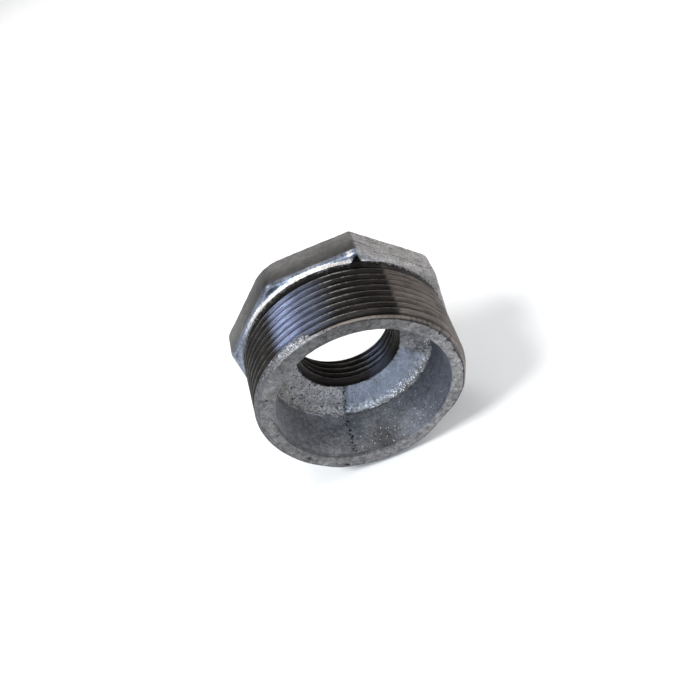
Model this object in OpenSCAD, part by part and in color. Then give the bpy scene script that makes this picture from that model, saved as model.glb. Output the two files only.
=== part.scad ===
// Octagon-head pipe bushing: a one-piece galvanised malleable-iron reducer
// with a tapered male thread outside and a smaller tapered female thread in
// the head. Millimetres. The pipe axis is Y: the head's outer face lies on
// y = 0, the male end points to -Y, and the head has flats facing +Z and -Z.
// The threads are rings at the true pitch, taper, depth and flank angle.

/* [Head] */
// width of the octagon across its flats
head_af = 62; // [61.5:0.5:70]
// height of the head, from its outer face to the shoulder
head_h = 9.4; // [8:0.1:12]
// radius of the cast corners between two flats
corner_r = 2.5; // [0.5:0.25:4]
// radius that rounds the edges of the flats at both faces
edge_r = 1.4; // [0.3:0.1:2]

/* [Male thread] */
// overall length, from the head's outer face to the male end
overall_l = 31; // [29:0.5:36]
// pitch radius of the male thread at its small end
male_pitch_r = 28.82; // [28.5:0.01:29]
// outer radius of the flat rim that is left inside the end chamfer
rim_r = 28.45; // [28:0.05:29]
// length of the plain neck between the shoulder and the first ring
neck_l = 0.55; // [0.3:0.05:1.5]

/* [Female thread] */
// pitch radius of the female thread at the head's outer face
female_pitch_r = 15.73; // [14.5:0.01:16]
// length of the female thread, from the head's outer face
female_l = 8.3; // [5:0.1:9.5]
// depth of the small chamfer at the mouth of the female thread
mouth_chamfer = 0.45; // [0.2:0.05:0.7]
// radius of the ring edge where the female bore meets the web
ring_r = 15.75; // [15.5:0.05:18]

/* [Thread form] */
// distance from one thread crest to the next
pitch = 2.209; // [2:0.001:2.5]
// height of the thread from root to crest
thread_depth = 1.65; // [1.2:0.01:1.7]

/* [Cavity] */
// inner radius of the rim at the male end
cavity_r = 24.6; // [22:0.1:25]
// how much narrower the cavity is at its floor than at the rim
cavity_draft = 0.5; // [0.1:0.1:1]
// depth of the ring edge below the head's outer face
ring_s = 10.8; // [10:0.1:11.5]
// where the web meets the cavity wall, measured from the outer face
web_s = 14.7; // [13:0.1:17]
// radius of the fillet between the web and the cavity wall
web_fillet = 1.5; // [0.5:0.1:2.5]

/* [Hidden] */

sides = 8;                          // flats on the head
taper = 1 / 32;                     // radius lost per unit of length
thread_half_angle = 30;             // angle of each flank from square to the axis
flank = thread_depth * tan(thread_half_angle);  // axial run of one flank
land = (pitch - 2 * flank) / 2;     // width of the crest and root lands
edge_break = 0.3;                   // bevel inside the rim
fillet_steps = 4;                   // straight steps in the cavity fillet
past = 2;                           // how far a cutter runs past a face
zinc = [0.66, 0.67, 0.68];

apothem = head_af / 2;
core_apothem = apothem - corner_r;
core_edge = 2 * core_apothem * tan(180 / sides);
core_r = core_apothem / cos(180 / sides);

male_crest_end = male_pitch_r + thread_depth / 2;
chamfer_s = overall_l - (male_crest_end - rim_r);
male_from = head_h + neck_l;
male_rings = floor((chamfer_s - male_from - land) / pitch);

female_crest = female_pitch_r - thread_depth / 2;
female_rings = floor((female_l - mouth_chamfer - flank) / pitch);
female_from = female_l - female_rings * pitch;

web_floor_r = cavity_r - cavity_draft;
web_slope = atan((web_s - ring_s) / (web_floor_r - ring_r));
wall_slope = atan(cavity_draft / (overall_l - web_s));
// the corner that the fillet bridges turns by this much
turn = 90 - web_slope - wall_slope;
tangent_l = web_fillet * tan(turn / 2);

// radius of the male crest at a distance s from the outer face
function male_r(s) = male_crest_end + (overall_l - s) * taper;

// radius of the female crest at a distance s from the outer face
function female_r(s) = female_crest - s * taper;

// one ring of thread: a root land, a flank, a crest land and a flank.
// Inward is -1 for rings cut into a shaft and +1 for rings cut into a bore.
function ring_points(s, crest, inward) = [
    [crest + inward * thread_depth, s],
    [crest + inward * thread_depth, s + land],
    [crest, s + land + flank],
    [crest, s + 2 * land + flank]
];

// the ring that the end chamfer cuts short: its flank stops at the chamfer
function last_ring_points(s) =
    let (root = male_r(s) - thread_depth,
         rise_s = s + land,
         top_s = min(chamfer_s, rise_s + flank),
         top_r = min(male_r(s), root + (chamfer_s - rise_s) / tan(thread_half_angle)))
    [[root, s], [root, rise_s], [top_r, top_s]];

// points of the fillet between the web and the cavity wall
function fillet_points() =
    let (start_r = web_floor_r - tangent_l * cos(web_slope),
         start_s = web_s - tangent_l * sin(web_slope),
         centre_r = start_r - web_fillet * sin(web_slope),
         centre_s = start_s + web_fillet * cos(web_slope))
    [for (i = [0:fillet_steps])
        let (a = -90 + web_slope + turn * i / fillet_steps)
        [centre_r + web_fillet * cos(a), centre_s + web_fillet * sin(a)]];

male_points = concat(
    [[0, head_h / 2], [male_r(male_from) - thread_depth, head_h / 2]],
    [for (i = [0:male_rings - 1])
        let (s = male_from + i * pitch)
        each ring_points(s, male_r(s + pitch / 2), -1)],
    last_ring_points(male_from + male_rings * pitch),
    [[male_crest_end, chamfer_s],
     [rim_r, overall_l], [0, overall_l]]);

female_points = concat(
    [[0, -past], [female_crest + mouth_chamfer, -past],
     [female_crest + mouth_chamfer, 0], [female_crest, mouth_chamfer],
     [female_crest, female_from - flank]],
    [for (i = [0:female_rings - 1])
        let (s = female_from + i * pitch)
        each ring_points(s, female_r(s + pitch / 2), 1)],
    [[female_r(female_l - pitch / 2), female_l], [ring_r, ring_s]],
    fillet_points(),
    [[cavity_r - edge_break * tan(wall_slope), overall_l - edge_break],
     [cavity_r + edge_break, overall_l],
     [cavity_r + edge_break, overall_l + past], [0, overall_l + past]]);

// octagonal prism with rounded corners, standing on z = 0
module octagon_blank() {
    rotate(180 / sides) cylinder(h = head_h, r = core_r, $fn = sides);
    for (i = [0:sides - 1]) rotate(i * 360 / sides) {
        translate([0, -core_edge / 2, 0])
            cube([apothem, core_edge, head_h]);
        rotate(180 / sides) translate([core_r, 0, 0])
            cylinder(h = head_h, r = corner_r, $fn = 48);
    }
}

// a bar that rounds one edge of a flat; the edge lies along Y at x = apothem
module edge_rounder() {
    translate([apothem - edge_r, -head_af / 2, 0]) difference() {
        translate([0, 0, -past]) cube([edge_r + past, head_af, edge_r + past]);
        translate([0, -past, edge_r]) rotate([-90, 0, 0])
            cylinder(h = head_af + 2 * past, r = edge_r, $fn = 48);
    }
}

module head() {
    difference() {
        octagon_blank();
        for (i = [0:sides - 1]) rotate(i * 360 / sides) {
            edge_rounder();
            translate([0, 0, head_h]) mirror([0, 0, 1]) edge_rounder();
        }
    }
}

module octagon_bushing() {
    color(zinc) rotate([90, 0, 0]) difference() {
        union() {
            head();
            rotate_extrude($fn = 180) polygon(male_points);
        }
        rotate_extrude($fn = 180) polygon(female_points);
    }
}

octagon_bushing();
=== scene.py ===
"""Octagon-head reducing bushing: one galvanised casting with threads cut in it.

The mesh is one closed skin. Its rows run once round the pipe axis and follow
each other from the head's outer face, over the flats and the shoulder, down
the male thread, over the rim, through the cavity and the web, and back up the
female thread. Lengths are millimetres until the mesh is made. "s" is the
distance from the head's outer face towards the male end, and angles turn
from +X towards +Z.
"""
import math

import bmesh
import bpy
import numpy as np
from mathutils import Matrix, Vector, noise


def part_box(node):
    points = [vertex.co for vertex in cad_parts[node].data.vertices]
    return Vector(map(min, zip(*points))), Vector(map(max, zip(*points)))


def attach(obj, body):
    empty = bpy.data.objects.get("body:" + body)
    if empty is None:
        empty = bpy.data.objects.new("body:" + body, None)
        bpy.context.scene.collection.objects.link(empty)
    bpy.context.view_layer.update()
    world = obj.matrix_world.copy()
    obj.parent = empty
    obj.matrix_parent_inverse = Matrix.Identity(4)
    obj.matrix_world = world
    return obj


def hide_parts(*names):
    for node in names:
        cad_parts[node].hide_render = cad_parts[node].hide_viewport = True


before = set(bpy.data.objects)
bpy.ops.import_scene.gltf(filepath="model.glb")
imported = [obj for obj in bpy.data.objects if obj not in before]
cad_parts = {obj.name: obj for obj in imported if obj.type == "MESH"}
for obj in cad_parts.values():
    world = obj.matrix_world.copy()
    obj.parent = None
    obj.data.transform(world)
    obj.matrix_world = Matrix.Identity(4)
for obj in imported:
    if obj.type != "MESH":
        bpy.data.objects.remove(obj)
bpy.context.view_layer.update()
low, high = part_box("octagon_bushing")
MM = 0.001

# ---------------------------------------------------------------- dimensions
APOTHEM = (high.z - low.z) / MM / 2
LENGTH = (high.y - low.y) / MM
HEAD_H = 9.4
EDGE_R = 1.4
PITCH = 2.209
THREAD_DEPTH = 1.6
TAPER = 1 / 32
LAND = 0.15
MALE_END_R = 29.645
RIM_R = 28.6
RIM_SHIFT = 0.45                # how far the rim's outer edge is off the axis, towards -X
CHAMFER_SLOPE = 0.85
LIP_SLOPE = 1.2                 # how steeply the rim's lip closes the last thread groove
RUN_OUT = 0.65                  # how far the thread's first crests are cut down
SCALLOP = 3.2                   # degrees from one scallop of the chamfer to the next
SCALLOPED = (34, 70, 5)         # first angle, last angle and softness of that stretch
FEMALE_MOUTH_R = 14.905
MOUTH_CHAMFER = 0.45
FEMALE_L = 8.5
RING_R, RING_S = 15.75, 10.8
FLOOR_R, WEB_S = 24.1, 14.7
CAVITY_R = 24.6
FILLET = 1.5
BEVEL_R = 0.35                  # width of the bevel inside the rim
SEAM = 247.5                    # angle of the mould's parting line inside the cavity
LEFT = (66, 215, 6)             # the side where a zinc fillet lies against the thread
LIT = (-60, 54, 1.2)            # the side of the thread that catches the light
COLS = 448                      # points in one row
MERGE_M = 2e-7                  # points nearer than this become one
SHARP_DEG = 38                  # edges that turn more than this stay sharp

theta = np.arange(COLS) * 2 * math.pi / COLS
degrees = np.degrees(theta)


def smooth(lo, hi, x):
    """0 below lo, 1 above hi, and an even S between."""
    t = np.clip((np.asarray(x, float) - lo) / (hi - lo), 0, 1)
    return t * t * (3 - 2 * t)


def turned(angle, deg):
    """Signed difference of angles in degrees, -180 to 180."""
    return (np.asarray(deg, float) - angle + 180) % 360 - 180


def hill(angle, half, deg):
    """1 at an angle, falling smoothly to 0 at half degrees either side."""
    return 1 - smooth(0, half, np.abs(turned(angle, deg)))


def sector(first, last, soft, deg):
    """1 between two angles, with soft edges."""
    middle, half = (first + last) / 2, (last - first) / 2
    return 1 - smooth(half - soft, half + soft, np.abs(turned(middle, deg)))


def bell(centre, width, x):
    """1 at the centre, with smooth tails of about this width."""
    return np.exp(-((np.asarray(x, float) - centre) / width) ** 2)


def ragged(per_mm, offset):
    """Uneven wave, about -1 to 1, once round the part."""
    shift = Vector((offset, offset, offset))
    spots = [Vector((math.cos(a), 0, math.sin(a))) * 24 * per_mm + shift for a in theta]
    return np.array([noise.fractal(spot, 1.0, 2.0, 3) for spot in spots])


# ---------------------------------------------------------- outline of the head
# the mould leaves two crisp corners on its parting plane, and rounds the rest;
# radius of each corner at the outer face and at the shoulder
CORNER_R = {22.5: (4.5, 2.9), 67.5: (0.8, 0.8), 112.5: (12.0, 4.0), 157.5: (2.2, 2.2),
            202.5: (2.4, 2.4), 247.5: (0.9, 0.9), 292.5: (4.2, 4.2), 337.5: (2.6, 2.6)}
HALF_SIDE = math.radians(22.5)


def octagon_r(deg, share):
    """Distance from the axis to the octagon; share is 0 at the outer face, 1 at the shoulder."""
    out = np.zeros_like(deg)
    for corner, (back, front) in CORNER_R.items():
        radius = back + (front - back) * share
        off = np.radians(turned(corner, deg))
        mine = np.abs(off) <= HALF_SIDE + 1e-9
        reach = (APOTHEM - radius) / math.cos(HALF_SIDE)
        flat_until = math.atan2((APOTHEM - radius) * math.tan(HALF_SIDE), APOTHEM)
        under = np.maximum(radius ** 2 - (reach * np.sin(off)) ** 2, 0)
        arc = reach * np.cos(off) + np.sqrt(under)
        flat = APOTHEM / np.cos(HALF_SIDE - np.abs(off))
        rounded = np.abs(off) < HALF_SIDE - flat_until
        out = np.where(mine, np.where(rounded, arc, flat), out)
    return out


# ------------------------------------------------------------------- the threads
def thread_height(turns):
    """Height of the thread, 0 at the root and 1 at the crest, by turns past a crest."""
    away = np.abs((turns + 0.5) % 1 - 0.5) * PITCH
    return np.clip((PITCH / 2 - LAND / 2 - away) / (PITCH / 2 - LAND), 0, 1)


MALE_CREST_S = 1.88 - PITCH * 64 / 360      # where a crest crosses angle 0
FEMALE_CREST_S = 1.95 - PITCH * 257 / 360   # the same for the bore


def neck_fillet(deg):
    """Radius of the zinc fillet between shoulder and thread, full on the left side only."""
    return 0.2 + 0.75 * sector(*LEFT, deg)


def zinc_limit(deg):
    """How far from the outer face the zinc reaches before the thread cuts it away."""
    return HEAD_H + neck_fillet(deg) + 0.1


def zinc_start(deg):
    """Where the zinc of the rim begins again, on the left part of the end chamfer."""
    return LENGTH + 0.5 - 2.7 * sector(96, 235, 12, deg)


def rim_edge(deg):
    """Outer radius of the rim face: off centre, with nicks, a zinc drip and low spots."""
    nicks = 0.5 * hill(28, 1.8, deg) + 0.45 * hill(20, 1.6, deg)
    drip = 0.65 * hill(240, 17, deg) + 0.3 * hill(263, 20, deg) + 0.25 * hill(337, 9, deg)
    low = 0.36 * hill(200, 26, deg) + 0.95 * hill(310, 20, deg) + 0.5 * hill(8, 12, deg)
    return RIM_R - RIM_SHIFT * np.cos(np.radians(deg)) - nicks + drip - low


def scallops(deg):
    """1 at the bottom of each scallop of the end chamfer and 0 between them."""
    return (0.5 + 0.5 * np.cos(np.radians(deg) * 360 / SCALLOP)) * sector(*SCALLOPED, deg)


def chamfer_r(s, deg):
    """Radius of the end chamfer, whose upper edge is scalloped along one stretch."""
    away = LENGTH - s
    bites = 0.45 * scallops(deg) * smooth(0.35, 0.95, away)
    return rim_edge(deg) + away * CHAMFER_SLOPE - bites


def male_r(s, deg):
    """Radius of the male side at s: tapered thread, run-out and end chamfer."""
    turns = (s - MALE_CREST_S) / PITCH - deg / 360
    crest = MALE_END_R + (LENGTH - s) * TAPER
    start = zinc_limit(deg)
    cut = smooth(start - 0.1, start + 1.6, s)
    r = crest - cut * THREAD_DEPTH * (1 - thread_height(turns))
    run_out = RUN_OUT * smooth(start - 0.1, start + 0.5, s) * (1 - smooth(11.4, 12.9, s))
    r = np.minimum(r, crest - run_out)
    lip = rim_edge(deg) - LIP_SLOPE * (LENGTH - s)
    return np.maximum(np.minimum(r, chamfer_r(s, deg)), lip)


def female_r(s, deg):
    """Radius of the female side at s: tapered thread between its two plain ends."""
    turns = (s - FEMALE_CREST_S) / PITCH - deg / 360
    crest = FEMALE_MOUTH_R - s * TAPER
    cut = 1 - smooth(FEMALE_L - 1.2, FEMALE_L, s)
    r = crest + cut * THREAD_DEPTH * (1 - thread_height(turns))
    mouth = FEMALE_MOUTH_R + MOUTH_CHAMFER - s
    inner = FEMALE_MOUTH_R - FEMALE_L * TAPER
    flare = inner + (s - FEMALE_L) * (RING_R - inner) / (RING_S - FEMALE_L)
    return np.maximum(np.maximum(r, mouth), flare)


# ------------------------------------------------------------------ rows of points
FACE, SIDE, SHOULDER, MALE, RIM, WALL, WEB, RING, FEMALE = range(9)
FIELDS = ("r", "s", "out_r", "out_s", "lump", "zinc", "depth", "part")
rows = []


def add_row(part, r, s, out_r=0.0, out_s=0.0, lump=1.0, zinc=3.0, depth=0.0):
    """One row: place, outward direction, share of cast lumps, zinc cover, groove depth."""
    values = (r, s, out_r, out_s, lump, zinc, depth, part)
    rows.append([np.broadcast_to(np.asarray(v, float), (COLS,)).copy() for v in values])


CREST_EDGE = LAND / 2 / PITCH
# the rows of one turn: crest, flank, root and flank, in turns past the crest's middle
HELIX_STEPS = (0.0, CREST_EDGE, 0.25, 0.5 - CREST_EDGE, 0.5 + CREST_EDGE, 0.75, 1 - CREST_EDGE)


def helix_rows(first_s, last_s, crest_s):
    """Rows that follow a right-hand helix, held between two planes."""
    nearest = float(np.min(first_s))
    start = crest_s + PITCH * (math.floor((nearest - crest_s) / PITCH) - 1)
    turns = math.ceil((last_s - nearest) / PITCH) + 3
    return [np.clip(start + (turn + step) * PITCH + PITCH * degrees / 360, first_s, last_s)
            for turn in range(turns) for step in HELIX_STEPS]


outline = octagon_r(degrees, 1)
back_outline = octagon_r(degrees, 0)

# outer face, from where the female thread runs out, and its rounded edge
mouth_r = female_r(0.0, degrees)
back_edge = 1.0 - 0.55 * sector(25, 112, 8, degrees)
for t in np.linspace(0, 1, 15):
    r = mouth_r + (back_outline - back_edge - mouth_r) * t
    add_row(FACE, r, 0.0, 0, -1, smooth(0, 0.1, t), r - mouth_r - 0.15, 0.5)
for a in np.linspace(0, math.pi / 2, 6)[1:-1]:
    add_row(SIDE, back_outline - back_edge + back_edge * math.sin(a),
            back_edge - back_edge * math.cos(a), math.sin(a), -math.cos(a))
# the flats, and the edge rounded into the shoulder
for t in np.linspace(0, 1, 16):
    add_row(SIDE, octagon_r(degrees, t), back_edge + (HEAD_H - EDGE_R - back_edge) * t, 1)
neck = MALE_END_R + (LENGTH - HEAD_H) * TAPER
edge_reach = np.minimum(EDGE_R, outline - neck - 0.1)
for a in np.linspace(0, math.pi / 2, 6)[1:]:
    add_row(SHOULDER, outline - edge_reach + edge_reach * math.cos(a),
            HEAD_H - EDGE_R + EDGE_R * math.sin(a), math.cos(a), math.sin(a))
fillet = neck_fillet(degrees)
for t in np.linspace(0, 1, 14)[1:]:
    gap = (outline - edge_reach - neck) * (1 - t) ** 1.4
    inside = np.clip(1 - gap / fillet, 0, 1)
    rise = fillet * (1 - np.sqrt(1 - inside ** 2))
    add_row(SHOULDER, neck + gap, HEAD_H + rise, 0, 1, 1 - smooth(0.9, 1, t),
            1.0 + gap - rise)

# male thread and end chamfer
male_rows = helix_rows(HEAD_H + fillet, LENGTH, MALE_CREST_S)
male_span = (len(rows), len(rows) + len(male_rows))
for s in male_rows:
    r = male_r(s, degrees)
    crest = MALE_END_R + (LENGTH - s) * TAPER
    patchy = 1 + 1.6 * sector(70, 175, 8, degrees)
    by_shoulder = (zinc_limit(degrees) + 0.1 * patchy - s) / patchy
    by_rim = (s - zinc_start(degrees)) / 2
    add_row(MALE, r, s, 0.25, 0, 0, np.maximum(by_shoulder, by_rim), (crest - r) / THREAD_DEPTH)

# rim, cavity wall, fillet and web
mouth_edge = CAVITY_R + 0.22 * np.cos(theta) - 0.25 * hill(255, 30, degrees)
for t in np.linspace(0, 1, 9)[1:]:
    r = rim_edge(degrees) + (mouth_edge + BEVEL_R - rim_edge(degrees)) * t
    sag = 0.08 + 0.26 * sector(268, 350, 20, degrees)
    add_row(RIM, r, LENGTH - sag * t ** 6, 0, 1, 0.9, rim_edge(degrees) - r - 0.05, 0.5)
wall_slope = math.atan((CAVITY_R - FLOOR_R) / (LENGTH - WEB_S))
web_slope = math.atan((WEB_S - RING_S) / (FLOOR_R - RING_R))
bend = math.pi / 2 - web_slope - wall_slope
tangent = FILLET * math.tan(bend / 2)
for s in np.linspace(LENGTH - 0.45, WEB_S + tangent, 28):
    off = (mouth_edge - CAVITY_R) * (s - WEB_S) / (LENGTH - WEB_S)
    step = 0.12 * sector(SEAM, SEAM + 50, 1.5, degrees)
    add_row(WALL, FLOOR_R + off - step + (s - WEB_S) * math.tan(wall_slope), s, -1, 0, 0.7)
start_r = FLOOR_R - tangent * math.cos(web_slope)
start_s = WEB_S - tangent * math.sin(web_slope)
centre_r = start_r - FILLET * math.sin(web_slope)
centre_s = start_s + FILLET * math.cos(web_slope)
for t in np.linspace(1, 0, 7)[1:]:
    a = -math.pi / 2 + web_slope + bend * t
    add_row(WEB, centre_r + FILLET * math.cos(a), centre_s + FILLET * math.sin(a),
            -math.cos(a), -math.sin(a), 1.3)
chips = 0.22 * np.clip(ragged(0.9, 3.0), -0.3, 1) + 0.1 * ragged(0.25, 8.0)
for t in np.linspace(0, 1, 20)[1:]:
    r = start_r + (RING_R + chips - start_r) * t
    s = start_s + (RING_S + 0.05 - start_s) * t
    add_row(WEB, r, s, -math.sin(web_slope), math.cos(web_slope), 1.2 - t, r - RING_R - chips - 0.12)
for s in (RING_S, RING_S - 0.6, RING_S - 1.3, RING_S - 1.9):
    add_row(RING, female_r(s, degrees) + chips * (s > RING_S - 0.1), s, lump=0, zinc=-1, depth=0.35)

# female thread, back to the mouth
female_rows = helix_rows(0.0, FEMALE_L, FEMALE_CREST_S)[::-1]
female_span = (len(rows), len(rows) + len(female_rows))
for s in female_rows:
    r = female_r(s, degrees)
    crest = FEMALE_MOUTH_R - s * TAPER
    add_row(FEMALE, r, s, lump=0, zinc=-1, depth=(r - crest) / THREAD_DEPTH)

data = dict(zip(FIELDS, np.array(rows).transpose(1, 0, 2)))
R, S, PART = data["r"], data["s"], data["part"]
DEG = np.broadcast_to(degrees, R.shape)


def on(*parts):
    """True where the skin belongs to any of these parts."""
    return np.isin(PART, parts)


# ------------------------------------------------- cast lumps, seams and pits
def fractal(points, scale, octaves, offset):
    """Smooth repeatable noise, about -1 to 1, at each point."""
    flat = points.reshape(-1, 3) * scale + offset
    return np.array([noise.fractal(Vector(p), 1.0, 2.0, octaves)
                     for p in flat]).reshape(points.shape[:-1])


def places():
    """Where every point of the skin is, in millimetres."""
    return np.stack([R * np.cos(theta), -S, R * np.sin(theta)], axis=-1)


def drops(points, scale, offset):
    """Rounded droplets, 0 between them and up to 1 on top of each."""
    flat = points.reshape(-1, 3) * scale + offset
    near = np.array([noise.voronoi(Vector(p))[0][0] for p in flat])
    return np.clip(1 - 1.5 * near, 0, 1).reshape(points.shape[:-1]) ** 0.7


coarse = fractal(places(), 0.16, 2, 11.0)
medium = fractal(places(), 0.55, 2, 37.0)
fine = fractal(places(), 1.4, 2, 71.0)
beads = drops(places(), 0.95, 5.0)
# the two halves of the core left one side of the web smooth and the other rough
bright_web = sector(SEAM, SEAM + 180, 2.5, DEG + 1.5 * medium)
rough_web = on(WEB) * (1 - bright_web)
glossy = on(SHOULDER) * sector(64, 215, 4, DEG)
wrinkled = on(WEB) * sector(325, 385, 12, DEG)
lift = 0.07 * coarse + 0.06 * medium + 0.035 * fine - 0.04
lift = lift * (1 - 0.75 * glossy) + wrinkled * (0.1 * medium + 0.14 * fine)
lift = lift + rough_web * (0.2 * beads + 0.07 * fine) + on(WALL) * (0.04 * beads + 0.02 * fine)
# the junction of web and wall carries a ridge of frozen zinc drops on one side
ridge = on(WEB, WALL) * bell(15.0, 1.7, S) * bell(23.4, 1.7, R)
ridge_side = sector(250, 345, 12, DEG)
ledge_side = sector(185, SEAM - 2, 5, DEG)
ledge = ledge_side * (0.12 + 0.3 * beads + 0.2 * medium)
lift = lift + ridge * (ridge_side * (0.15 + 0.35 * beads) + ledge)
furrow = on(WEB) * bell(21.0, 0.6, R + 0.5 * medium) * sector(205, SEAM, 8, DEG)
lift = lift - 0.3 * furrow + rough_web * 0.12 * medium
# pits where the mould's two halves met
seam_pits = np.zeros_like(R)
for k in range(9):
    pit_s = 16.8 + 1.15 * k
    pit_angle = SEAM + 0.9 * math.sin(2.3 * k)
    size = 0.32 + 0.25 * math.sin(1.9 * k) ** 2
    away = np.hypot(turned(pit_angle, DEG) * FLOOR_R * math.pi / 180, (S - pit_s) * 0.8)
    seam_pits = np.maximum(seam_pits, on(WALL) * bell(0, size, away))
lift = lift - 0.4 * seam_pits
# angle, radius and half width in degrees of each notch in the rim
NOTCHES = ((10, 27.6, 1.3), (216, 27.1, 2.8), (242, 28.6, 2.2), (183, 26.1, 1.0), (150, 27.0, 0.9))
rim_notch = np.zeros_like(R)
for angle, radius, half in NOTCHES:
    dent = on(RIM) * bell(0, half, turned(angle, DEG)) * bell(radius, 0.42, R)
    rim_notch = np.maximum(rim_notch, dent)
lift = lift - 0.6 * rim_notch
# the die bit a dark wedge out of the shoulder below the crisp corner
wedge_half = np.minimum(0.58 * (32.1 - R + S - HEAD_H), 1.8)
wedge_away = np.abs(turned(67, DEG)) * R * math.pi / 180 - wedge_half
by_head = (S > HEAD_H - 0.6) & (S < HEAD_H + 3) & on(SHOULDER, MALE)
wedge = (1 - smooth(-0.4, 0.2, wedge_away)) * by_head
lift = lift * data["lump"] - 0.45 * wedge * on(SHOULDER)
R = R + data["out_r"] * lift
S = S + data["out_s"] * lift

# ------------------------------------------------- painted fields for the material
zinc = data["zinc"].copy()
zinc = np.where(wedge > 0, np.minimum(zinc, wedge_away), zinc)
depth = np.maximum(data["depth"], wedge)
bare = zinc < 0
right_side = smooth(-145, -60, turned(0, DEG)) * smooth(68.2, 65.8, turned(0, DEG))
# the zinc fillet beside the thread, with a painted highlight along it on the left and at the crisp
# corner
fillet_highlight = smooth(0.65, 0.3, (R - neck) / fillet) * sector(67, 136, 12, DEG)
fillet_highlight = on(SHOULDER) * np.maximum(fillet_highlight, 0.8 * bell(70.6, 1.4, DEG)) * (wedge == 0)
# the cast wall begins where the lumps of the web end
wall_share = smooth(-0.3, 0.3, S - WEB_S - 0.9 - 0.5 * ragged(0.5, 21.0)) * on(WALL, WEB)
seam_side = hill(SEAM + 6, 9, DEG) * bell(21, 4, S)


def paint_over(field, mask, value):
    """The field with a new value where the mask is true."""
    return np.where(mask, value, field)


def blend(share, first, second):
    """From first at share 0 to second at share 1."""
    return first + (second - first) * share


# brightness of the zinc and of the iron, with painted light and shade in it
tone = np.ones_like(R)
# painted shade: the flats on the left darker, most of all towards the shoulder
left_painted_shade = 0.1 + 0.2 * smooth(7.5, 1.0, S) + 0.17 * hill(152, 38, DEG) - 0.03 * hill(76, 12, DEG)
tone = paint_over(tone, on(SIDE), blend(right_side, left_painted_shade, 0.95))
left_shoulder = 0.6 - 0.25 * hill(112, 9, DEG) * smooth(0.6, 1.4, R - neck)
tone = paint_over(tone, on(SHOULDER), blend(right_side, left_shoulder, 0.98))
# painted highlight: the fillet made near white
tone = blend(fillet_highlight, tone, 2.6)
# painted light and shade: the rim lighter on the right and darker on top; the mottling on it is the
# zinc's own
rim_painted_light = 0.53 + 0.1 * np.cos(theta) - 0.28 * hill(80, 65, DEG)
tone = paint_over(tone, on(RIM), rim_painted_light * (1 + 0.22 * np.clip(coarse + medium, -1, 1)))
seam_away = np.abs(turned(SEAM, DEG)) * R * math.pi / 180
bright_tone = 0.66 + 0.16 * sector(318, 345, 6, DEG)
web_tone = blend(bright_web, 1.12, bright_tone) - 0.17 * wrinkled - 0.35 * bell(0, 0.8, seam_away)
# painted highlight along the ridge and its ledge, painted shade in the furrow
web_tone = web_tone + ridge * (0.42 * ridge_side + 0.3 * ledge_side) - 0.22 * furrow
# painted shade: the cavity wall darker on the right and at the bottom near the mouth; also darker
# beside the seam
wall_tone_and_painted_shade = 1.35 - 0.2 * hill(195, 40, DEG) - 0.92 * sector(279, 405, 28, DEG)
wall_tone_and_painted_shade = (wall_tone_and_painted_shade - 0.3 * seam_side) * (1 - 0.75 * hill(270, 34, DEG) * smooth(15, 25, S))
wall_tone_and_painted_shade = wall_tone_and_painted_shade * (1 - 0.45 * hill(250, 40, DEG) * smooth(19, 29, S))
tone = paint_over(tone, on(WEB, WALL), blend(wall_share, web_tone, wall_tone_and_painted_shade))
mouth_lip = on(WALL, RIM) * (S > LENGTH - 0.7) * smooth(0.9, 0.5, R - mouth_edge)
tone = tone * (1 - 0.6 * mouth_lip * sector(170, 262, 8, DEG))
# painted light and shade: the thread lighter on the side that catches the light, darker on the far
# left
thread_painted_light = 0.52 + 2.0 * sector(*LIT, DEG) - 0.44 * hill(180, 75, DEG)
# painted shadow: the thread darker in the run-out groove by the shoulder, less on the right
shade = smooth(3.0, 1.4, S - zinc_limit(degrees)) * blend(sector(-60, 30, 20, DEG), 1, 0.6)
tone = paint_over(tone, on(MALE), thread_painted_light * (1 - 0.7 * shade))
scallop_shade = scallops(DEG)
band_tone = 3.8 + 0.9 * sector(-60, 66, 6, DEG)
band = on(MALE) & bare & (R > chamfer_r(S, DEG) - 0.02)
band_edge = on(MALE) & bare & ~band & (S > LENGTH - 1.3)
# painted shade: the chamfer band and its edge darker in the bottoms of the scallops
band_tone = blend(0.45 * scallop_shade * smooth(0.3, 0.5, LENGTH - S), band_tone, 0.4)
tone = paint_over(tone, band, np.where(S > LENGTH - 0.02, 0.5, band_tone))
tone = paint_over(tone, band_edge, blend(scallop_shade, 2.4, 0.3))
end_zinc = on(MALE) & ~bare & (S > LENGTH / 2)
# painted highlight: the zinc at the end of the thread made lighter on the upper left
end_painted_highlight = hill(110, 24, DEG)
tone = paint_over(tone, on(MALE) & ~bare, 0.36)
tone = paint_over(tone, end_zinc, 0.38 + 0.8 * end_painted_highlight)
tone = paint_over(tone, wedge > 0, 0.22)
# painted shade: the ring darker towards the web, under the zinc's edge
tone = paint_over(tone, on(RING), 0.5 - 0.38 * smooth(9.4, 10.1, S))
tone = paint_over(tone, on(FEMALE), 0.5)

# warm (positive) or cool (negative) tint
warm = np.zeros_like(R)
warm = paint_over(warm, on(SIDE), 0.55)
# painted reflection: the left of the shoulder tinted blue as if by bluish light
warm = paint_over(warm, on(SHOULDER), blend(right_side, -1.0, 0.5))
warm = blend(fillet_highlight, warm, 0.9)
cool_web = sector(SEAM, 335, 4, DEG) * smooth(340, 326, DEG)
warm = paint_over(warm, on(WEB), blend(cool_web, 0.6, -0.75))
wall_warm = 0.1 - 1.0 * sector(283, 405, 30, DEG) - 0.9 * seam_side
warm = paint_over(warm, on(WEB, WALL), blend(wall_share, warm, wall_warm))
warm = blend(ridge * ridge_side, warm, 0.4)
warm = paint_over(warm, on(RIM), 0.55)
warm = paint_over(warm, on(MALE) & ~bare, 0.2)

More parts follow.
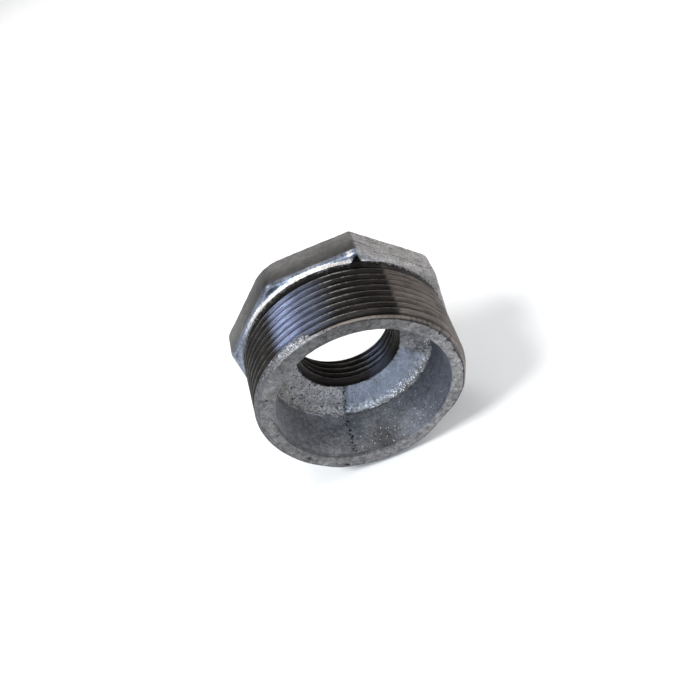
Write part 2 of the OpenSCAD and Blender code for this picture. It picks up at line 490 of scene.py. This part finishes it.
# how glossy the zinc is, and where glints are painted on the iron's crests
gloss_and_glints = np.zeros_like(R)
gloss_and_glints = paint_over(gloss_and_glints, on(SHOULDER), 0.75 * (1 - right_side))
gloss_and_glints = blend(fillet_highlight, gloss_and_glints, 1)
gloss_and_glints = paint_over(gloss_and_glints, on(WEB), 0.6 * bright_web)
# painted glints on the thread's crests near the top
gloss_and_glints = paint_over(gloss_and_glints, on(MALE), hill(83, 13, DEG))
gloss_and_glints = paint_over(gloss_and_glints, on(MALE) & ~bare, 0.5)
gloss_and_glints = paint_over(gloss_and_glints, end_zinc, 0.2 + 0.8 * end_painted_highlight)
gloss_and_glints = np.clip(gloss_and_glints + ridge * ridge_side, 0, 1)

# strength of the fine cast grain
grain = np.ones_like(R)
grain = paint_over(grain, on(SIDE), blend(right_side, 0.35, 0.85))
outer_edge = smooth(HEAD_H - 0.5, HEAD_H - 0.1, S) * smooth(1.2, 2.4, R - neck)
grain = paint_over(grain, on(SHOULDER), blend(right_side, 0.1 + 0.8 * outer_edge, 0.85))
grain = blend(fillet_highlight, grain, 0.05)
grain = paint_over(grain, on(MALE), 1.5)
grain = paint_over(grain, on(RIM), 0.7)
grain = paint_over(grain, on(WEB, WALL), blend(wall_share, 1.0 - 0.3 * bright_web, 0.8))

# how many dark pits
pits = np.zeros_like(R)
pits = paint_over(pits, on(SIDE), 0.25 * right_side)
pits = paint_over(pits, on(WEB), 1.3 - 1.0 * bright_web)
pits = paint_over(pits, on(RIM), 0.75)
pits = np.maximum(pits, on(WALL) * 2.4 * bell(0, 1.0, seam_away))
pits = np.maximum(pits, on(WEB) * 2.0 * bell(0, 0.8, seam_away))
pits = np.maximum(pits, seam_pits * 5)
pits = np.maximum(pits, rim_notch * 5)

# painted reflection: blue light painted on the flanks on one side of the thread, and weaker in the
# bore
painted_reflection = 0.4 * smooth(82, 100, DEG) + 0.6 * smooth(100, 110, DEG)
painted_reflection = painted_reflection * on(MALE) * bare * smooth(124, 114, DEG) * smooth(11.5, 14.5, S)
painted_reflection = painted_reflection * smooth(LENGTH - 0.8, LENGTH - 3, S)
painted_reflection = painted_reflection + 0.3 * on(FEMALE, RING) * hill(297, 26, DEG)
# painted glints: bright specks on the zinc
painted_glint_spots = on(WALL) * 0.9 * sector(SEAM, 345, 8, DEG) + ridge * ridge_side + 0.4 * rough_web
painted_glint_spots = painted_glint_spots + on(SHOULDER) * outer_edge * (1 - right_side)

# short wrinkles in the cast skin, which run round the part
lines = np.zeros_like(R)
lines = paint_over(lines, on(SIDE), blend(right_side, 0.15, 1.0))
lines = paint_over(lines, on(SHOULDER), 0.8 * right_side)
lines = paint_over(lines, on(WEB), 0.25 + 0.75 * wrinkled)
lines = paint_over(lines, on(WALL), 0.12)

# soft dark blotches
blotch = np.zeros_like(R)
blotch = paint_over(blotch, on(SIDE, FACE), 0.45)
blotch = paint_over(blotch, on(RIM), 1.0)
blotch = paint_over(blotch, on(WEB), 0.5)
blotch = paint_over(blotch, on(WALL), 0.6)

# ------------------------------------------------------------------------ mesh
count = len(rows)
index = np.arange(count * COLS).reshape(count, COLS)


def once_round(row, span, shift):
    """The row that a helix row becomes after one turn; other rows meet themselves."""
    first, last = span
    if first <= row < last:
        return min(max(row + shift, first), last - 1)
    return row


def partner(row):
    """The row that each row becomes after one turn, on either thread."""
    row = once_round(row, male_span, len(HELIX_STEPS))
    return once_round(row, female_span, -len(HELIX_STEPS))


faces = []
for i in range(count):
    j = (i + 1) % count
    ring_i = list(index[i]) + [index[partner(i), 0]]
    ring_j = list(index[j]) + [index[partner(j), 0]]
    faces.extend((int(ring_i[c]), int(ring_j[c]), int(ring_j[c + 1]), int(ring_i[c + 1]))
                 for c in range(COLS))

mesh = bpy.data.meshes.new("octagon_bushing_skin")
mesh.from_pydata((places() * MM).reshape(-1, 3).tolist(), [], faces)
paint = {"zinc": zinc, "depth": depth, "tone": tone, "warm": warm, "gloss_and_glints": gloss_and_glints,
         "grain": grain, "pits": pits, "painted_reflection": painted_reflection, "painted_glint_spots": painted_glint_spots, "lines": lines,
         "blotch": blotch}
for name, values in paint.items():
    layer = mesh.attributes.new(name, "FLOAT", "POINT")
    layer.data.foreach_set("value", values.astype(np.float32).ravel())

bm = bmesh.new()
bm.from_mesh(mesh)
bmesh.ops.remove_doubles(bm, verts=bm.verts, dist=MERGE_M)
bmesh.ops.dissolve_degenerate(bm, edges=bm.edges, dist=MERGE_M)
bmesh.ops.recalc_face_normals(bm, faces=bm.faces)
for face in bm.faces:
    face.smooth = True
bm.to_mesh(mesh)
bm.free()
mesh.set_sharp_from_angle(angle=math.radians(SHARP_DEG))
body = bpy.data.objects.new("octagon_bushing_skin", mesh)
bpy.context.scene.collection.objects.link(body)


# -------------------------------------------------------------------- material
class Nodes:
    """Short ways to add shader nodes to one material."""

    def __init__(self, name):
        self.material = bpy.data.materials.new(name)
        self.material.use_nodes = True
        self.tree = self.material.node_tree
        self.bsdf = self.tree.nodes["Principled BSDF"]

    def put(self, kind, inputs=(), **settings):
        node = self.tree.nodes.new(kind)
        for key, value in settings.items():
            setattr(node, key, value)
        for key, value in dict(inputs).items():
            self.plug(node.inputs[key], value)
        return node

    def plug(self, socket, value):
        if isinstance(value, bpy.types.NodeSocket):
            self.tree.links.new(value, socket)
        else:
            socket.default_value = value

    def calc(self, operation, *values):
        return self.put("ShaderNodeMath", dict(enumerate(values)), operation=operation).outputs[0]

    def vector(self, x, y, z):
        return self.put("ShaderNodeCombineXYZ", {0: x, 1: y, 2: z}).outputs[0]

    def shade(self, value, colour):
        """The colour, made as bright as the value."""
        parts = [self.calc("MULTIPLY", value, part) for part in colour]
        return self.put("ShaderNodeCombineColor", dict(enumerate(parts))).outputs[0]

    def ramp(self, value, lo, hi, out_lo=0.0, out_hi=1.0):
        inputs = {"Value": value, "From Min": lo, "From Max": hi,
                  "To Min": out_lo, "To Max": out_hi}
        return self.put("ShaderNodeMapRange", inputs, clamp=True).outputs[0]

    def field(self, name):
        return self.put("ShaderNodeAttribute", attribute_name=name).outputs["Fac"]

    def noise(self, vector, scale, detail=2.0, rough=0.5):
        inputs = {"Vector": vector, "Scale": scale, "Detail": detail, "Roughness": rough}
        return self.put("ShaderNodeTexNoise", inputs).outputs["Fac"]

    def mix(self, share, first, second, blend="MIX"):
        node = self.put("ShaderNodeMix", data_type="RGBA", blend_type=blend)
        self.plug(node.inputs[0], share)
        self.plug(node.inputs[6], first)
        self.plug(node.inputs[7], second)
        return node.outputs[2]

    def bump(self, height, distance):
        inputs = {"Height": height, "Distance": distance, "Strength": 1.0}
        return self.put("ShaderNodeBump", inputs).outputs[0]


def grey(value, tint=(1, 1, 1)):
    return tuple(value * channel for channel in tint) + (1,)


ZINC_COLOUR = (0.34, 0.34, 0.345)
COOL_TINT, WARM_TINT = (0.86, 0.96, 1.16, 1), (1.07, 1.0, 0.92, 1)
IRON_COLOUR = (0.053, 0.046, 0.042)
REFLECTION_BLUE = grey(0.32, (0.79, 0.91, 1.36))
WORN_AND_GLINT_COLOUR = grey(0.26, (1.0, 0.95, 0.86))
BUMP_DISTANCE = 0.00055

n = Nodes("galvanised_iron_look")
where = n.put("ShaderNodeTexCoord").outputs["Object"]
mm = n.put("ShaderNodeVectorMath", {0: where, 1: (1000, 1000, 1000)},
           operation="MULTIPLY").outputs[0]
split = n.put("ShaderNodeSeparateXYZ", {0: mm})
squares = n.calc("ADD", n.calc("POWER", split.outputs[0], 2.0),
                 n.calc("POWER", split.outputs[2], 2.0))
radius = n.calc("POWER", squares, 0.5)


def round_the_part(turn_scale, axis_scale):
    """Coordinates that don't change with radius, so that marks run round the part."""
    return n.vector(n.calc("MULTIPLY", n.calc("DIVIDE", split.outputs[0], radius), turn_scale),
                    n.calc("MULTIPLY", split.outputs[1], axis_scale),
                    n.calc("MULTIPLY", n.calc("DIVIDE", split.outputs[2], radius), turn_scale))


lathe = round_the_part(1.6, 2.2)
across = round_the_part(8, 0.85)

# where the zinc covers the iron, with an uneven edge
edge_noise = n.calc("MULTIPLY", n.calc("SUBTRACT", n.noise(mm, 1.1, 3, 0.65), 0.5), 1.5)
cover = n.ramp(n.calc("ADD", n.field("zinc"), edge_noise), -0.1, 0.12)

# zinc: mottled spangle, grey oxide streaks along the flats, specks, painted glints, dark pits
mottle = n.noise(mm, 0.22, 4, 0.62)
spangle = n.noise(mm, 1.3, 3, 0.6)
speck = n.noise(mm, 2.4, 2, 0.55)
wrinkle = n.noise(across, 1.0, 4, 0.66)
grain_field = n.field("grain")
zinc_grey = n.calc("MULTIPLY", n.ramp(mottle, 0.3, 0.7, 0.8, 1.2),
                   n.ramp(spangle, 0.3, 0.7, 0.74, 1.26))
blotches = n.calc("MULTIPLY", n.ramp(n.noise(mm, 0.55, 3, 0.62), 0.36, 0.56, -0.42, 0.08),
                  n.field("blotch"))
zinc_grey = n.calc("MULTIPLY", zinc_grey, n.calc("ADD", blotches, 1.0))
crease = n.calc("MULTIPLY", n.ramp(wrinkle, 0.34, 0.47, -0.5, 0.05), n.field("lines"))
zinc_grey = n.calc("MULTIPLY", zinc_grey, n.calc("ADD", crease, 1.0))
speckle = n.calc("MULTIPLY", n.ramp(speck, 0.3, 0.7, -0.4, 0.4), grain_field)
zinc_grey = n.calc("MULTIPLY", zinc_grey, n.calc("ADD", speckle, 1.0))
# painted glints: bright specks added to the zinc's colour, where it is also smoother
painted_glint = n.calc("MULTIPLY", n.ramp(n.noise(mm, 1.7, 1, 0.5), 0.69, 0.74), n.field("painted_glint_spots"))
zinc_grey = n.calc("MULTIPLY_ADD", painted_glint, 1.6, n.calc("MULTIPLY", zinc_grey, n.field("tone")))
pit_noise = n.noise(mm, 1.5, 2, 0.55)
pit_limit = n.calc("MULTIPLY_ADD", n.field("pits"), 0.1, 0.24)
pit = n.ramp(n.calc("SUBTRACT", pit_limit, pit_noise), -0.02, 0.03)
zinc_grey = n.calc("MULTIPLY", zinc_grey, n.ramp(pit, 0, 1, 1.0, 0.16))
tint = n.mix(n.ramp(n.field("warm"), -1, 1), COOL_TINT, WARM_TINT)
zinc_colour = n.mix(1.0, n.shade(zinc_grey, ZINC_COLOUR), tint, "MULTIPLY")

# bare iron: dark, oiled, with turning marks and pale worn crests; painted glints on some crests, a
# painted blue reflection and painted shade towards the roots
turning = n.noise(lathe, 3.0, 4, 0.7)
patch = n.noise(mm, 0.12, 3, 0.6)
iron_grey = n.calc("MULTIPLY", n.ramp(turning, 0.3, 0.7, 0.6, 1.5),
                   n.ramp(patch, 0.35, 0.65, 0.75, 1.3))
iron_grey = n.calc("MULTIPLY", iron_grey, n.field("tone"))
iron_colour = n.shade(iron_grey, IRON_COLOUR)
uneven = n.ramp(n.noise(lathe, 2.0, 3, 0.6), 0.3, 0.7, -0.08, 0.1)
crest = n.ramp(n.calc("ADD", n.field("depth"), uneven), 0.01, 0.12, 1.0, 0.0)
worn = n.ramp(n.noise(mm, 0.5, 3, 0.65), 0.4, 0.62, 0.03, 0.3)
# painted glints on the thread's crests
crest_glints = n.calc("MULTIPLY", n.field("gloss_and_glints"), n.ramp(n.noise(mm, 0.8, 2, 0.6), 0.45, 0.6, 0.1, 1.3))
crest = n.calc("MULTIPLY", crest, n.calc("ADD", worn, crest_glints))
# the painted blue reflection, broken up by the turning marks
iron_colour = n.mix(n.calc("MULTIPLY", n.field("painted_reflection"), n.ramp(turning, 0.3, 0.65, 0.35, 1.0)),
                    iron_colour, REFLECTION_BLUE)
iron_colour = n.mix(crest, iron_colour, WORN_AND_GLINT_COLOUR)
# painted shade: the iron darker towards the thread's roots
groove = n.ramp(n.field("depth"), 0.35, 0.95, 1.0, 0.3)
iron_colour = n.mix(1.0, iron_colour, n.shade(groove, (1, 1, 1)), "MULTIPLY")

n.plug(n.bsdf.inputs["Base Color"], n.mix(cover, iron_colour, zinc_colour))
n.plug(n.bsdf.inputs["Metallic"], n.ramp(cover, 0, 1, 0.55, 0.7))
n.plug(n.bsdf.inputs["Specular IOR Level"], n.ramp(cover, 0, 1, 0.2, 0.5))
zinc_rough = n.calc("MULTIPLY_ADD", n.field("gloss_and_glints"), -0.28, 0.52)
zinc_rough = n.calc("MULTIPLY_ADD", painted_glint, -0.25, zinc_rough)
zinc_rough = n.calc("ADD", zinc_rough, n.ramp(spangle, 0.3, 0.7, -0.07, 0.09))
iron_rough = n.ramp(turning, 0.3, 0.7, 0.24, 0.38)
rough = n.calc("ADD", n.calc("MULTIPLY", zinc_rough, cover),
               n.calc("MULTIPLY", iron_rough, n.calc("SUBTRACT", 1.0, cover)))
n.plug(n.bsdf.inputs["Roughness"], rough)

cast_height = n.calc("ADD", n.calc("MULTIPLY", n.noise(mm, 1.1, 4, 0.62), 0.6),
                     n.calc("MULTIPLY", n.noise(mm, 3.2, 3, 0.6), 0.35))
cast_height = n.calc("MULTIPLY_ADD", crease, 0.8, n.calc("MULTIPLY", cast_height, grain_field))
cast_height = n.calc("SUBTRACT", cast_height, n.calc("MULTIPLY", pit, 0.9))
cut_height = n.calc("MULTIPLY", n.noise(lathe, 5.0, 4, 0.65), 0.25)
height = n.calc("ADD", n.calc("MULTIPLY", cast_height, cover),
                n.calc("MULTIPLY", cut_height, n.calc("SUBTRACT", 1.0, cover)))
n.plug(n.bsdf.inputs["Normal"], n.bump(height, BUMP_DISTANCE))
mesh.materials.append(n.material)

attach(body, "root")
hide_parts("octagon_bushing")

# ------------------------------------------------------------- floor and light
bpy.ops.mesh.primitive_plane_add(size=4, location=(0, 0, low.z))
floor = bpy.context.object
floor.name = "floor"
f = Nodes("floor_paint")
f.plug(f.bsdf.inputs["Base Color"], grey(0.8))
f.plug(f.bsdf.inputs["Roughness"], 0.85)
floor.data.materials.append(f.material)

world = bpy.data.worlds.new("studio")
world.use_nodes = True
world.node_tree.nodes["Background"].inputs["Color"].default_value = (0.93, 0.96, 1, 1)
world.node_tree.nodes["Background"].inputs["Strength"].default_value = 0.35
bpy.context.scene.world = world


def area(name, direction, distance, size, power, colour):
    """A soft rectangular light that shines on the object from a direction."""
    light = bpy.data.lights.new(name, "AREA")
    light.shape = "RECTANGLE"
    light.size, light.size_y = size
    light.energy = power
    light.color = colour
    lamp = bpy.data.objects.new(name, light)
    bpy.context.scene.collection.objects.link(lamp)
    away = Vector(direction).normalized()
    lamp.location = away * distance + Vector((0, -LENGTH * MM / 2, 0))
    lamp.rotation_euler = away.to_track_quat("Z", "Y").to_euler()


area("key", (-0.7, -0.3, 1.0), 0.9, (0.25, 0.25), 8, (0.98, 0.99, 1.0))
area("window", (-0.27, -0.94, 0.24), 0.8, (0.12, 0.12), 3, (0.72, 0.85, 1.0))
area("front", (-0.2, -0.72, 0.6), 0.9, (1.1, 0.35), 1.2, (1.0, 1.0, 0.97))
area("back", (-0.1, 0.75, 0.6), 0.8, (0.3, 0.3), 2.5, (1.0, 0.98, 0.94))
area("fill", (0.9, 0.1, 0.7), 0.9, (0.5, 0.5), 3, (1.0, 0.97, 0.93))

# --------------------------------------------------------------------- camera
CAMERA_MM = Vector((11.984, -151.193, 142.104))
LOOK = Vector((-0.057851, 0.69941, -0.712376)).normalized()
UP = Vector((0.372013, 0.67728, 0.634742)).normalized()
SENSOR, LENS = 36, 35.361
camera = bpy.data.objects.new("camera", bpy.data.cameras.new("camera"))
bpy.context.scene.collection.objects.link(camera)
right = LOOK.cross(UP).normalized()
basis = Matrix((right, right.cross(LOOK), -LOOK)).transposed()
camera.matrix_world = Matrix.Translation(CAMERA_MM * MM) @ basis.to_4x4()
camera.data.sensor_width = SENSOR
camera.data.lens = LENS
camera.data.clip_start = 0.005
bpy.context.scene.camera = camera
bpy.context.scene.view_settings.view_transform = "Standard"

bpy.context.view_layer.update()
